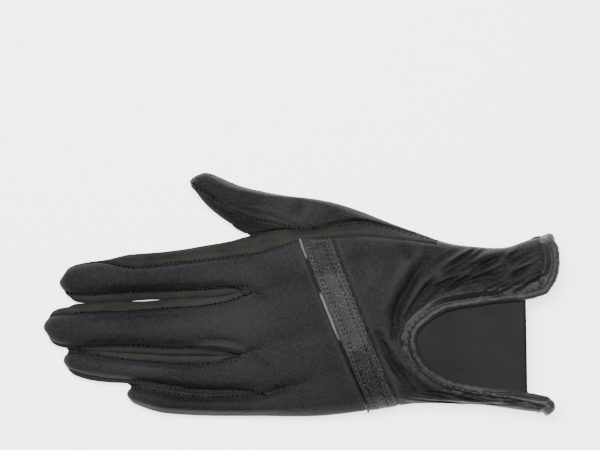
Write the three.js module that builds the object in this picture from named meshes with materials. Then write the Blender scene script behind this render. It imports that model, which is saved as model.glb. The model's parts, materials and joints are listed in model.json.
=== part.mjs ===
// A left-hand horse riding glove lying on its palm, built as the cloth pieces it is sewn from.
// Millimetres, +Z up. Fingertips point along -X, the cuff along +X, the thumb along +Y.

import * as THREE from 'three';

// Driving dimensions, in millimetres

const satinWall = 1.2;
const suedeWall = 1.2;
const leatherWall = 1.5;
const insertWall = 1.2;
const seamGap = 0.36;
const crotchEase = 1.5;
const palmLength = 66;
const cuffLength = 63.4;
const handHeight = 28;
const palmSeamHeight = 2.6;
const crotchHeight = 11.2;
const indexTipDrop = 4.6;
const thumbLength = 110;
const thumbReach = 28.8;
const thumbHeight = 15.5;
const sideBulge = 1.1;
const stripBulge = 0.4;
const fourchetteBulge = 5;
const bindingWidth = 5.2;
const bindingThickness = 2.4;
const bandRaise = 0.3;
const pipingRadius = 0.75;
const insertTuck = 3.6;
const insertDrop = 2.1;
const insertCrown = 0.8;

// Each finger: the length from its root to its tip, its width and height, the width of its root along
// the knuckles, and the room that its tip keeps from the finger before it
const fingers = [
  { name: 'index', length: 85.8, width: 17, height: 13, rootWidth: 16.9, tipRoom: 0 },
  { name: 'middle', length: 90.8, width: 18, height: 13.5, rootWidth: 27.3, tipRoom: 7.6 },
  { name: 'ring', length: 85.3, width: 12.5, height: 13, rootWidth: 17.6, tipRoom: 2 },
  { name: 'little', length: 62.5, width: 10, height: 13.5, rootWidth: 8.6, tipRoom: 6 },
];

// Seams of the finger backs, as shares of the finger's width on each side of its middle line.
// columns: share of the length, seam on the thumb side, seam on the little side
const fingerSeams = {
  index: [
    [0.1, 0.455, 0.32],
    [0.22, 0.41, 0.33],
    [0.36, 0.37, 0.34],
    [0.5, 0.32, 0.316],
    [0.64, 0.33, 0.306],
    [0.76, 0.53, 0.31],
    [0.86, 0.53, 0.324],
    [0.94, 0.46, 0.29],
    [0.98, 0.37, 0.24],
    [1, 0.23, 0.17],
  ],
  middle: [
    [0.1, 0.555, 0.68],
    [0.22, 0.44, 0.577],
    [0.36, 0.41, 0.606],
    [0.5, 0.355, 0.538],
    [0.64, 0.325, 0.518],
    [0.76, 0.318, 0.526],
    [0.86, 0.298, 0.52],
    [0.94, 0.28, 0.46],
    [0.98, 0.25, 0.36],
    [1, 0.17, 0.23],
  ],
  ring: [
    [0.1, 0.47, 0.6],
    [0.22, 0.34, 0.697],
    [0.36, 0.25, 0.736],
    [0.5, 0.229, 0.6],
    [0.64, 0.225, 0.55],
    [0.76, 0.25, 0.56],
    [0.86, 0.285, 0.525],
    [0.94, 0.29, 0.43],
    [0.98, 0.27, 0.35],
    [1, 0.19, 0.24],
  ],
  little: [
    [0.1, 0.33, 0.485],
    [0.22, 0.23, 0.54],
    [0.36, 0.12, 0.61],
    [0.5, 0.08, 0.65],
    [0.64, 0.1, 0.67],
    [0.76, 0.176, 0.66],
    [0.86, 0.24, 0.52],
    [0.94, 0.27, 0.41],
    [0.98, 0.25, 0.33],
    [1, 0.18, 0.23],
  ],
};

// Heights along a finger, as shares of its height.
// columns: share of the length, crown, back seam, underside
const fingerHeights = [
  [0, 1.14, 0.82, 0],
  [0.1, 1.07, 0.76, 0],
  [0.22, 1.02, 0.7, 0],
  [0.36, 1, 0.68, 0],
  [0.5, 1.01, 0.68, 0],
  [0.64, 1, 0.67, 0],
  [0.76, 0.99, 0.66, 0],
  [0.86, 0.93, 0.62, 0.02],
  [0.94, 0.8, 0.55, 0.05],
  [0.98, 0.61, 0.45, 0.15],
  [1, 0.36, 0.36, 0.36],
];

// How far the index finger's thumb side stands out past its back seam, in shares of its width,
// for each row of the heights above
const indexSideReach = [0.453, 0.466, 0.45, 0.39, 0.39, 0.4, 0.02, 0, 0, 0, 0];

// Where the finger roots meet, along the hand, as shares of the hand's breadth
const knuckleLine = [0, 0, -0.057, 0.094, 0.094];

// Rows across the back of the hand, each a curve through three points.
// along: shares of palmLength; side: shares of the hand's breadth from its middle line
const handRows = {
  bandFront: { seam: [0.313, 0.597], middle: [0.533, 0.069], edge: [0.77, -0.4625] },
  bandBack: { seam: [0.527, 0.609], middle: [0.74, 0.0875], edge: [0.97, -0.431] },
  ventEnd: { seam: [0.72, 0.622], middle: [0.967, 0.1], edge: [1.017, -0.425] },
};

// Rows of the cuff past the closed end of the vent.
// along: shares of cuffLength; side: shares of the hand's breadth; bow of the lobes outwards and
// hollow of the palm inwards: shares of cuffLength
// columns: upper rim along, side, shoulder seam along, side, lower rim along, side, edge along, side,
// bow, hollow
const cuffRows = [
  [0.014, 0.031, -0.18, 0.616, 0.035, -0.15, 0.09, -0.419, 0, 0],
  [0.0625, 0.1, -0.07, 0.604, 0.095, -0.231, 0.16, -0.416, 0, 0],
  [0.167, 0.175, 0.076, 0.591, 0.1875, -0.296, 0.243, -0.416, 0, 0],
  [0.264, 0.219, 0.236, 0.572, 0.285, -0.34, 0.326, -0.419, 0, 0],
  [0.375, 0.24, 0.375, 0.544, 0.403, -0.366, 0.424, -0.424, 0, 0],
  [0.486, 0.253, 0.5, 0.5375, 0.52, -0.378, 0.528, -0.424, 0, 0.02],
  [0.604, 0.269, 0.625, 0.525, 0.639, -0.394, 0.639, -0.436, 0, 0.06],
  [0.722, 0.281, 0.736, 0.528, 0.75, -0.409, 0.743, -0.45, 0, 0.125],
  [0.84, 0.294, 0.847, 0.569, 0.854, -0.425, 0.847, -0.464, 0.02, 0.2],
  [0.944, 0.319, 0.965, 0.5875, 0.958, -0.439, 0.951, -0.474, 0.045, 0.28],
];

// Profile of the hand and cuff, row by row from the knuckles to the rim.
// crown, stripEdge, palmEdge: shares of handHeight; strip: width of the side strip seen from above,
// a share of the hand's breadth
// columns: crown, strip width, height of the strip's outer edge, height of the palm's thumb-side edge
const handProfile = [
  [0.56, 0.109, 0.22, 0.22],
  [0.68, 0.116, 0.31, 0.12],
  [0.76, 0.103, 0.38, 0.09],
  [0.83, 0.084, 0.44, 0.08],
  [0.89, 0.05, 0.47, 0.07],
  [0.93, 0.05, 0.49, 0.07],
  [0.96, 0.078, 0.5, 0.07],
  [0.98, 0.0875, 0.5, 0.07],
  [1, 0.09, 0.5, 0.08],
  [1, 0.084, 0.49, 0.1],
  [1, 0.07, 0.47, 0.14],
  [1, 0.047, 0.43, 0.22],
  [0.99, 0.022, 0.36, 0.36],
  [0.98, 0.012, 0.36, 0.36],
  [0.97, 0.0125, 0.36, 0.36],
  [0.97, 0.012, 0.36, 0.36],
  [0.96, 0.012, 0.36, 0.36],
  [0.96, 0.018, 0.37, 0.37],
  [0.94, 0.026, 0.38, 0.38],
];

// Outline of the thumb from its tip to its root.
// along: shares of thumbLength from the crotch; out: shares of thumbReach
// columns: outer along, outer out, inner along, inner out
const thumbRows = [
  [-0.203, 0.985, -0.238, 0.74],
  [-0.175, 1, -0.224, 0.68],
  [-0.128, 0.92, -0.203, 0.55],
  [-0.048, 0.78, -0.168, 0.405],
  [0.048, 0.7, -0.124, 0.268],
  [0.152, 0.62, -0.084, 0.161],
  [0.272, 0.58, -0.054, 0.1],
  [0.392, 0.475, -0.033, 0.063],
  [0.52, 0.27, -0.0185, 0.037],
  [0.64, 0.1, -0.0085, 0.017],
];

// Folds and gathers of the hand and cuff, ridges up and valleys down.
// along and side of both ends in shares of palmLength and of the hand's breadth; width and height in
// shares of handHeight
// columns: along, side, along, side, width, height
const folds = [
  [1.1, 0.5, 0.97, 0.15, 0.13, -0.07],
  [1.17, 0.47, 1.04, 0.2, 0.1, 0.05],
  [1.25, 0.39, 1.13, 0.27, 0.1, -0.05],
  [0.84, -0.02, 0.95, -0.2, 0.12, -0.05],
  [1.27, 0.26, 1.54, 0.29, 0.09, 0.05],
  [1.41, 0.37, 1.56, 0.4, 0.09, 0.05],
  [1.6, 0.31, 1.72, 0.36, 0.09, 0.05],
  [1.56, 0.39, 1.69, 0.44, 0.09, 0.05],
  [1.7, 0.34, 1.86, 0.46, 0.1, 0.06],
  [1.31, 0.43, 1.5, 0.5, 0.09, 0.04],
  [0.2, 0.33, 0.02, 0.12, 0.12, -0.03],
  [0.25, -0.05, 0.0, -0.12, 0.12, -0.03],
];

// Shares of a mesh

const stripCells = 3;
const fingerCells = 5;
const backCells = fingers.length * fingerCells;
const ventColumn = 13;
const bandFrontRow = 4;
const bandBackRow = 6;
const ventRow = 8;
const thumbEndRow = 12;
const lastRow = handProfile.length - 1;
const shoulderShare = 0.7;
const edgeShare = 0.62;
const slitShare = 0.455;
const palmCurl = 0.3;
const rimLifts = [0.5, 1, 1.35];
const insertCells = 8;
const tipRound = 0.13;
const tipRoundPower = 12;
const wallTaperPower = 16;
const mitreLimit = 0.3;
const seamShare = 0.85;
const domeSquareness = 2.6;
const domeFullness = 0.55;
const bulgeFullness = 0.8;
const blendFullness = 0.7;
const hollowFullness = 0.45;
const littleSideEase = 0.02;
const lowerBow = 0.3;
const indexPalmReach = 0.6;
const indexWallReach = 0.55;
const palmEdgeRise = 0.1;
const thumbSeamHeight = 0.4;
const thumbTipRound = 0.032;
const thumbUnderDepth = 1.15;
const bindingEdge = 0.8;
const bindingNose = 0.55;
const handBreadth = fingers.reduce((total, finger) => total + finger.rootWidth, 0);

// Points of the whole surface, shared by the pieces that meet in a seam

const points = [];
const pieces = new Map();

function addPoint(x, y, z) {
  points.push(new THREE.Vector3(x, y, z));
  return points.length - 1;
}

function addCell(piece, corners) {
  const distinct = corners.filter((corner, at) => corner !== corners[(at + 1) % corners.length]);
  if (distinct.length < 3) {
    return;
  }
  if (!pieces.has(piece)) {
    pieces.set(piece, []);
  }
  pieces.get(piece).push(distinct);
}

function addPatch(piece, rows, upward) {
  for (let row = 0; row + 1 < rows.length; row += 1) {
    for (let column = 0; column + 1 < rows[row].length; column += 1) {
      const corners = [
        rows[row][column],
        rows[row + 1][column],
        rows[row + 1][column + 1],
        rows[row][column + 1],
      ];
      addCell(piece, upward ? corners.reverse() : corners);
    }
  }
}

const mix = THREE.MathUtils.lerp;

function dome(across) {
  return (1 - Math.min(1, Math.abs(across)) ** domeSquareness) ** domeFullness;
}

function foldHeight(x, y) {
  let height = 0;
  for (const [along, side, alongEnd, sideEnd, width, rise] of folds) {
    const start = new THREE.Vector2(along * palmLength, side * handBreadth);
    const run = new THREE.Vector2(alongEnd * palmLength, sideEnd * handBreadth).sub(start);
    const point = new THREE.Vector2(x, y).sub(start);
    const share = THREE.MathUtils.clamp(point.dot(run) / run.lengthSq(), 0, 1);
    const apart = point.sub(run.multiplyScalar(share)).length() / (width * handHeight);
    height += rise * handHeight * Math.exp(-apart * apart);
  }
  return height;
}

// A side wall between a back seam and a palm seam, curved outwards by its bulge
function sidePoints(top, bottom, outward, bulge) {
  const wall = [top];
  const from = points[top];
  const to = points[bottom];
  for (let cell = 1; cell < stripCells; cell += 1) {
    const share = cell / stripCells;
    const out = outward * bulge * Math.sin(Math.PI * share) ** bulgeFullness;
    const fall = (1 - Math.cos(Math.PI * share)) / 2;
    wall.push(addPoint(mix(from.x, to.x, share), mix(from.y, to.y, share) + out, mix(from.z, to.z, fall)));
  }
  wall.push(bottom);
  return wall;
}

// Fingers

const crotchSides = [handBreadth / 2];
fingers.forEach((finger) => crotchSides.push(crotchSides.at(-1) - finger.rootWidth));
const backRoots = [];
const palmRoots = [];
crotchSides.forEach((side, at) => {
  const along = knuckleLine[at] * handBreadth;
  const outer = at === 0 || at === fingers.length;
  const out = at === 0 ? handProfile[0][1] * handBreadth : 0;
  const backHeight = outer ? fingerHeights[0][2] * fingers[0].height : crotchHeight;
  const palmHeight = at === 0 ? handProfile[0][3] * handHeight : palmSeamHeight;
  backRoots.push(addPoint(along, side, backHeight));
  palmRoots.push(addPoint(along, side + out, palmHeight));
});

const crotchPoints = new Set([...backRoots.slice(1, -1), ...palmRoots.slice(1, -1)]);

fingers.forEach((finger, at) => {
  const near = points[backRoots[at]];
  const far = points[backRoots[at + 1]];
  const rootMiddle = (near.y + far.y) / 2;
  const seams = fingerSeams[finger.name];
  const reference = seams[6];
  finger.tip = (near.x + far.x) / 2 - finger.length;
  if (at === 0) {
    finger.tipMiddle = rootMiddle - indexTipDrop;
  } else {
    const before = fingers[at - 1];
    const beforeReach = fingerSeams[before.name][6][2] * before.width;
    finger.tipMiddle = before.tipMiddle - beforeReach - finger.tipRoom - reference[1] * finger.width;
  }
  finger.seamLine = [{ x: near.x, near: near.y, far: far.y, xFar: far.x }];
  for (const [share, nearSide, farSide] of seams) {
    const middle = mix(rootMiddle, finger.tipMiddle, share);
    finger.seamLine.push({
      x: mix(near.x, finger.tip, share),
      xFar: mix(far.x, finger.tip, share),
      near: middle + nearSide * finger.width,
      far: middle - farSide * finger.width,
    });
  }
});

// The side of a finger's seam at a place along the hand
function seamAt(finger, side, x) {
  const key = side === 'far' ? 'xFar' : 'x';
  const line = finger.seamLine;
  let row = 1;
  while (row < line.length - 1 && line[row][key] > x) {
    row += 1;
  }
  const share = (line[row - 1][key] - x) / (line[row - 1][key] - line[row][key]);
  return mix(line[row - 1][side], line[row][side], THREE.MathUtils.clamp(share, 0, 1));
}

fingers.forEach((finger, at) => {
  const next = fingers[at + 1];
  const before = fingers[at - 1];
  finger.back = [];
  finger.palm = [];
  finger.nearWalls = [];
  finger.farWalls = [];
  finger.seamLine.forEach((line, row) => {
    const [share, crown, seam, under] = fingerHeights[row];
    const atRoot = row === 0;
    const atTip = row === finger.seamLine.length - 1;
    const tipCurve = tipRound * finger.width * share ** tipRoundPower;
    const reach = at === 0 ? indexSideReach[row] * finger.width : 0;
    const seamHeight = seam * finger.height;
    const palmEdge = atTip ? seamHeight : Math.max(palmSeamHeight, (under + palmEdgeRise) * finger.height);
    const back = [];
    const palm = [];
    for (let column = 0; column <= fingerCells; column += 1) {
      const across = (2 * column) / fingerCells - 1;
      const lift = dome(across);
      const x = mix(line.x, line.xFar, column / fingerCells) + tipCurve * across * across;
      const y = mix(line.near, line.far, column / fingerCells);
      const edge = column === 0 || column === fingerCells;
      if (atRoot && edge) {
        back.push(backRoots[at + (column ? 1 : 0)]);
      } else {
        const rootEdge = mix(points[backRoots[at]].z, points[backRoots[at + 1]].z, column / fingerCells);
        const low = atRoot ? rootEdge : seamHeight;
        back.push(addPoint(x, y, mix(low, crown * finger.height, lift)));
      }
      if (atTip) {
        palm.push(back.at(-1));
      } else if (atRoot && edge) {
        palm.push(palmRoots[at + (column ? 1 : 0)]);
      } else {
        const spread = 1 - column / fingerCells;
        const z = edge ? palmEdge : under * finger.height;
        palm.push(addPoint(x, y + indexPalmReach * reach * spread, z));
      }
    }
    finger.back.push(back);
    finger.palm.push(palm);
    const farRoom = next ? Math.max(0, line.far - seamAt(next, 'near', line.xFar)) : sideBulge / slitShare;
    const nearRoom = before ? Math.max(0, seamAt(before, 'far', line.x) - line.near) : 0;
    const taper = 1 - share ** wallTaperPower;
    const farBulge = atRoot && next ? 0 : taper * Math.min(fourchetteBulge, slitShare * farRoom);
    const nearSlit = taper * Math.min(fourchetteBulge, slitShare * nearRoom);
    const nearBulge = before ? nearSlit : indexWallReach * reach;
    if (atTip) {
      finger.nearWalls.push(Array(stripCells + 1).fill(back[0]));
      finger.farWalls.push(Array(stripCells + 1).fill(back.at(-1)));
    } else {
      const shared = atRoot && before;
      const nearWall = shared ? before.farWalls[0] : sidePoints(back[0], palm[0], 1, nearBulge);
      finger.nearWalls.push(nearWall);
      finger.farWalls.push(sidePoints(back.at(-1), palm.at(-1), -1, farBulge));
    }
  });
  addPatch('back_panel', [...finger.back].reverse(), true);
  addPatch('palm_panel', [...finger.palm].reverse(), false);
});

for (let slit = 0; slit + 1 < fingers.length; slit += 1) {
  const name = `fourchette_${fingers[slit].name}_${fingers[slit + 1].name}`;
  addPatch(name, [...fingers[slit].farWalls].reverse(), true);
  addPatch(name, fingers[slit + 1].nearWalls, true);
}
addPatch('radial_strip', [...fingers[0].nearWalls].reverse(), false);
addPatch('back_panel', [...fingers.at(-1).farWalls].reverse(), true);

// Back of the hand and cuff, from the thumb side across to the palm seam under the little finger side

function rowCurve(row, share) {
  const { seam, middle, edge } = handRows[row];
  const weights = [
    (share - 0.5) * (share - 1) * 2,
    share * (1 - share) * 4,
    share * (share - 0.5) * 2,
  ];
  const along = weights[0] * seam[0] + weights[1] * middle[0] + weights[2] * edge[0];
  const side = weights[0] * seam[1] + weights[1] * middle[1] + weights[2] * edge[1];
  return new THREE.Vector2(along * palmLength, side * handBreadth);
}

const rootBack = fingers.flatMap((finger, at) => finger.back[0].slice(at ? 1 : 0));
const rootPalm = fingers.flatMap((finger, at) => finger.palm[0].slice(at ? 1 : 0));
const flat = (id) => new THREE.Vector2(points[id].x, points[id].y);

// Places across a row of the hand before the vent opens
function handPlace(row, column) {
  const share = column / backCells;
  const front = rowCurve('bandFront', share);
  if (row <= bandFrontRow) {
    const part = row / bandFrontRow;
    const place = flat(rootBack[column]).lerp(front, part);
    place.y -= littleSideEase * handBreadth * share ** 4 * Math.sin(Math.PI * part);
    return place;
  }
  const back = rowCurve('bandBack', share);
  if (row <= bandBackRow) {
    return front.lerp(back, (row - bandFrontRow) / (bandBackRow - bandFrontRow));
  }
  return back.lerp(rowCurve('ventEnd', share), (row - bandBackRow) / (ventRow - bandBackRow));
}

// Places across a row of the cuff, on the upper or the lower lobe
function cuffPlace(row, column, lower) {
  const table = cuffRows[row - ventRow - 1];
  const [rimX, rimY, seamX, seamY, lowRimX, lowRimY, edgeX, edgeY, bow] = table;
  const share = lower ? (column - ventColumn) / (backCells - ventColumn) : column / ventColumn;
  const along = lower ? mix(lowRimX, edgeX, share) : mix(seamX, rimX, share);
  const side = lower ? mix(lowRimY, edgeY, share) : mix(seamY, rimY, share);
  const bulge = (lower ? lowerBow : 1) * bow * 4 * share * (1 - share);
  return new THREE.Vector2(palmLength + (along + bulge) * cuffLength, side * handBreadth);
}

// How far the palm's rim is cut in between the two lobes
function palmHollow(row) {
  return row > ventRow ? cuffRows[row - ventRow - 1].at(-1) * cuffLength : 0;
}

const topRows = [[...fingers[0].nearWalls[0]].reverse()];
topRows[0].push(...rootBack.slice(1), ...fingers.at(-1).farWalls[0].slice(1));
const lowRows = [];
const palmRows = [rootPalm];

for (let row = 1; row <= lastRow; row += 1) {
  const [crown, stripWidth, stripEdge, palmEdge] = handProfile[row];
  const place = (column, lower) => (row <= ventRow ? handPlace(row, column) : cuffPlace(row, column, lower));
  const seam = place(0, false);
  const edge = place(backCells, true);
  const middle = (seam.y + edge.y) / 2;
  const half = (seam.y - edge.y) / 2;
  const top = crown * handHeight;
  const blend = Math.min(1, row / bandFrontRow);
  const domeHeight = (at) => {
    const across = (at.y - middle) / half;
    const low = mix(edgeShare, shoulderShare, (across + 1) / 2) * top;
    return mix(low, top, dome(across)) + foldHeight(at.x, at.y);
  };
  const cloth = (column, lower) => {
    const at = place(column, lower);
    const rootHeight = points[rootBack[column]].z * mix(1, crown / handProfile[0][0], blend);
    return addPoint(at.x, at.y, mix(rootHeight, domeHeight(at), blend ** blendFullness));
  };
  const outer = addPoint(seam.x, seam.y + stripWidth * handBreadth, stripEdge * handHeight);
  const shoulder = cloth(0, false);
  const line = sidePoints(shoulder, outer, 1, stripBulge).reverse();
  for (let column = 1; column <= backCells; column += 1) {
    const lower = column > ventColumn;
    line.push(cloth(column, lower));
  }
  const hem = points[line.at(-1)];
  const bottom = addPoint(hem.x, hem.y, palmSeamHeight);
  line.push(...sidePoints(line.at(-1), bottom, -1, sideBulge).slice(1));
  topRows.push(line);
  lowRows[row] = row > ventRow ? cloth(ventColumn, true) : line[stripCells + ventColumn];

  const rimLift = (rimLifts[row - lastRow + 2] ?? 0) * (bindingThickness - suedeWall) / 2;
  const start = points[outer];
  const joined = row >= thumbEndRow;
  const palm = [joined ? outer : addPoint(start.x, start.y, palmEdge * handHeight)];
  const rootStart = points[rootPalm[0]];
  const rootEnd = points[rootPalm.at(-1)];
  for (let column = 1; column < backCells; column += 1) {
    const even = column / backCells;
    const root = points[rootPalm[column]];
    const rootShare = (rootStart.y - root.y) / (rootStart.y - rootEnd.y);
    const share = mix(rootShare, even, blend);
    const offLine = (root.x - mix(rootStart.x, rootEnd.x, rootShare)) * (1 - blend);
    const nearEdge = column === 1 ? palmCurl * points[palm[0]].z : 0;
    const farEdge = column === backCells - 1 ? palmCurl * palmSeamHeight : 0;
    const hollow = palmHollow(row) * (4 * share * (1 - share)) ** hollowFullness;
    const x = mix(start.x, hem.x, share) + offLine - hollow;
    palm.push(addPoint(x, mix(start.y, hem.y, share), nearEdge + farEdge + rimLift));
  }
  palm.push(bottom);
  palmRows.push(palm);
}

const stripEnd = stripCells;
const clothEnd = stripCells + backCells + stripCells;
const vent = stripCells + ventColumn;

function topPatch(piece, firstRow, finalRow, firstColumn, finalColumn) {
  const rows = topRows.slice(firstRow, finalRow + 1);
  addPatch(piece, rows.map((row) => row.slice(firstColumn, finalColumn + 1)), true);
}

topPatch('radial_strip', 0, thumbEndRow, 0, stripEnd);
topPatch('back_panel', 0, bandFrontRow, stripEnd, clothEnd);
topPatch('leather_band', bandFrontRow, bandBackRow, stripEnd, clothEnd);
topPatch('wrist_panel', bandBackRow, ventRow, stripEnd, clothEnd);
topPatch('wrist_panel', ventRow, lastRow, stripEnd, vent);
topPatch('wrist_panel', thumbEndRow, lastRow, 0, stripEnd);
const lowerLobe = topRows.slice(ventRow).map((row, at) => {
  return [lowRows[ventRow + at], ...row.slice(vent + 1)];
});
addPatch('wrist_panel', lowerLobe, true);
addPatch('palm_panel', palmRows, false);

// Thumb, a cone of rows that fans from the crotch to its long root in the hand's side

const rootTop = topRows.slice(0, thumbEndRow + 1).map((row) => row[0]);
const rootUnder = palmRows.slice(0, thumbEndRow + 1).map((row) => row[0]);
const crotch = points[rootTop[0]].clone();
const thumbEnd = points[rootTop.at(-1)].clone();
const thumbSeamColumn = 5;
const thumbMiddle = thumbSeamHeight * thumbHeight;
const lastThumbRow = thumbRows.length;

function thumbBorder(column) {
  return thumbRows.map((row) => {
    const x = crotch.x + row[column] * thumbLength;
    return new THREE.Vector3(x, crotch.y + row[column + 1] * thumbReach, thumbMiddle);
  });
}

const outerLine = [...thumbBorder(0), thumbEnd];
const innerLine = [...thumbBorder(2), crotch];
outerLine.forEach((point, row) => {
  point.z = mix(thumbMiddle, thumbEnd.z, (row / lastThumbRow) ** 2);
});
innerLine.forEach((point, row) => {
  point.z = mix(thumbMiddle, crotch.z, (row / lastThumbRow) ** 2);
});

function thumbTip(share) {
  const point = innerLine[0].clone().lerp(outerLine[0], share);
  point.x -= thumbTipRound * thumbLength * Math.sin(Math.PI * share) ** bulgeFullness;
  return point;
}

function thumbPoint(row, column, root) {
  const down = row / lastThumbRow;
  const across = column / thumbEndRow;
  const point = thumbTip(across).multiplyScalar(1 - down);
  point.addScaledVector(points[root[column]], down);
  point.addScaledVector(innerLine[row], 1 - across);
  point.addScaledVector(outerLine[row], across);
  point.addScaledVector(innerLine[0], -(1 - down) * (1 - across));
  point.addScaledVector(outerLine[0], -(1 - down) * across);
  point.addScaledVector(innerLine.at(-1), -down * (1 - across));
  point.addScaledVector(outerLine.at(-1), -down * across);
  return point;
}

const thumbTop = [];
const thumbUnder = [];
const tipRise = [0, 0.72, 0.93, 1, 1, 1, 1, 1, 1, 1, 1];
for (let row = 0; row <= lastThumbRow; row += 1) {
  const above = [];
  const below = [];
  const fade = (1 - row / lastThumbRow) ** 0.5 * tipRise[row];
  for (let column = 0; column <= thumbEndRow; column += 1) {
    const edge = column === 0 || column === thumbEndRow;
    const lift = dome((2 * column) / thumbEndRow - 1) * fade;
    if (row === lastThumbRow) {
      above.push(rootTop[column]);
      below.push(rootUnder[column]);
    } else {
      const high = thumbPoint(row, column, rootTop);
      above.push(addPoint(high.x, high.y, high.z + (thumbHeight - thumbMiddle) * lift));
      if (row === 0 || edge) {
        below.push(above.at(-1));
      } else {
        const low = thumbPoint(row, column, rootUnder);
        const z = Math.max(0, low.z - thumbUnderDepth * thumbMiddle * lift);
        below.push(addPoint(low.x, low.y, z));
      }
    }
  }
  thumbTop.push(above);
  thumbUnder.push(below);
}

addPatch('thumb_palm', thumbTop.map((row) => row.slice(0, thumbSeamColumn + 1)), false);
addPatch('thumb_back', thumbTop.map((row) => row.slice(thumbSeamColumn)), false);
addPatch('thumb_palm', thumbUnder, true);

// Directions out of the cloth, shared along the seams

function cellFacing(cell) {
  const area = new THREE.Vector3();
  cell.forEach((corner, at) => {
    area.add(points[corner].clone().cross(points[cell[(at + 1) % cell.length]]));
  });
  return area;
}

const outwards = points.map(() => new THREE.Vector3());
for (const cells of pieces.values()) {
  for (const cell of cells) {
    const area = cellFacing(cell);
    cell.forEach((corner) => outwards[corner].add(area));
  }
}
outwards.forEach((direction) => direction.normalize());

// Solids

function closedGeometry(vertices, triangles) {
  const geometry = new THREE.BufferGeometry();
  const flatList = vertices.flatMap((vertex) => [vertex.x, vertex.y, vertex.z]);
  geometry.setAttribute('position', new THREE.Float32BufferAttribute(flatList, 3));
  geometry.setIndex(triangles.flat());
  geometry.computeVertexNormals();
  return geometry;
}

// A cell as triangles, cut along its shorter diagonal unless a neighbour at a corner has taken it
function cellTriangles(cell, taken) {
  if (cell.length === 3) {
    return [cell];
  }
  const [a, b, c, d] = cell;
  const shorter = points[a].distanceTo(points[c]) < points[b].distanceTo(points[d]);
  if ((shorter || taken.has(`${b}_${d}`)) && !taken.has(`${a}_${c}`)) {
    taken.add(`${a}_${c}`).add(`${c}_${a}`);
    return [[a, b, c], [a, c, d]];
  }
  taken.add(`${b}_${d}`).add(`${d}_${b}`);
  return [[a, b, d], [b, c, d]];
}

// A cloth piece of even wall, drawn back from its seams by its share of the seam gap
function clothSolid(cells, wall, raise = 0) {
  const edges = new Map();
  const corners = new Set(cells.flat());
  for (const cell of cells) {
    const facing = cellFacing(cell).normalize();
    cell.forEach((corner, at) => {
      const following = cell[(at + 1) % cell.length];
      const run = points[following].clone().sub(points[corner]);
      edges.set(`${corner}_${following}`, [corner, following, facing.clone().cross(run).normalize()]);
    });
  }
  const border = [...edges.values()].filter(([from, to]) => !edges.has(`${to}_${from}`));
  const draws = new Map();
  for (const [from, to, inward] of border) {
    draws.set(from, [...(draws.get(from) ?? []), inward]);
    draws.set(to, [...(draws.get(to) ?? []), inward]);
  }
  const index = new Map();
  const vertices = [];
  for (const corner of corners) {
    const out = outwards[corner];
    const outer = points[corner].clone().addScaledVector(out, raise);
    if (draws.has(corner)) {
      const [one, other] = draws.get(corner);
      const draw = one.clone().add(other).normalize();
      const slant = Math.max(mitreLimit, draw.dot(one), draw.dot(other));
      const ease = crotchPoints.has(corner) ? crotchEase : (seamShare * seamGap) / slant;
      outer.addScaledVector(draw, ease);
    }
    index.set(corner, vertices.length);
    vertices.push(outer, outer.clone().addScaledVector(out, -wall - raise));
  }
  const triangles = [];
  const taken = new Set();
  for (const cell of cells) {
    for (const [a, b, c] of cellTriangles(cell, taken)) {
      triangles.push([index.get(a), index.get(b), index.get(c)]);
      triangles.push([index.get(a) + 1, index.get(c) + 1, index.get(b) + 1]);
    }
  }
  for (const [from, to] of border) {
    const [here, there] = [index.get(from), index.get(to)];
    if (from < to) {
      triangles.push([there, here, here + 1], [there, here + 1, there + 1]);
    } else {
      triangles.push([there, here, there + 1], [here, here + 1, there + 1]);
    }
  }
  return closedGeometry(vertices, triangles);
}

// A section swept along stations that each have a centre and two directions
function sweptSolid(stations, section, closed) {
  const vertices = [];
  const triangles = [];
  const sides = section.length;
  for (const { centre, across, up } of stations) {
    for (const [wide, high] of section) {
      vertices.push(centre.clone().addScaledVector(across, wide).addScaledVector(up, high));
    }
  }
  const spans = closed ? stations.length : stations.length - 1;
  for (let span = 0; span < spans; span += 1) {
    const here = span * sides;
    const there = ((span + 1) % stations.length) * sides;
    for (let side = 0; side < sides; side += 1) {
      const next = (side + 1) % sides;
      triangles.push([here + side, there + side, there + next]);
      triangles.push([here + side, there + next, here + next]);
    }
  }
  if (!closed) {
    const end = (stations.length - 1) * sides;
    for (let side = 1; side + 1 < sides; side += 1) {
      triangles.push([0, side, side + 1]);
      triangles.push([end, end + side + 1, end + side]);
    }
  }
  return closedGeometry(vertices, triangles);
}

// Binding, a thick rolled ribbon round the whole rim of the cuff and its vent

const rim = [...palmRows[lastRow]];
for (let column = clothEnd - 1; column > vent; column -= 1) {
  rim.push(topRows[lastRow][column]);
}
for (let row = lastRow; row > ventRow; row -= 1) {
  rim.push(lowRows[row]);
}
for (let row = ventRow; row <= lastRow; row += 1) {
  rim.push(topRows[row][vent]);
}
for (let column = vent - 1; column > 0; column -= 1) {
  rim.push(topRows[lastRow][column]);
}

const bindingHalf = bindingThickness / 2;
const bindingStart = 1.5 * seamGap;
const bindingSection = [
  [bindingStart, -bindingEdge * bindingHalf],
  [bindingWidth / 2, -bindingHalf],
  [bindingWidth, -bindingNose * bindingHalf],
  [bindingWidth, bindingNose * bindingHalf],
  [bindingWidth / 2, bindingHalf],
  [bindingStart, bindingEdge * bindingHalf],
];

// Each station is lifted onto the surface that the palm lies on where it would dip under it
const rimStations = rim.map((id, at) => {
  const before = points[rim.at(at - 1)];
  const after = points[rim[(at + 1) % rim.length]];
  const run = after.clone().sub(before).normalize();
  const up = outwards[id];
  const across = run.clone().cross(up).normalize();
  const centre = points[id].clone().addScaledVector(up, -satinWall / 2);
  const heights = bindingSection.map(([wide, high]) => centre.z + across.z * wide + up.z * high);
  centre.z += Math.max(0, -Math.min(...heights));
  return { id, centre, across, up };
});

// Insert under the vent, tucked beneath the binding on both sides

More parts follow.
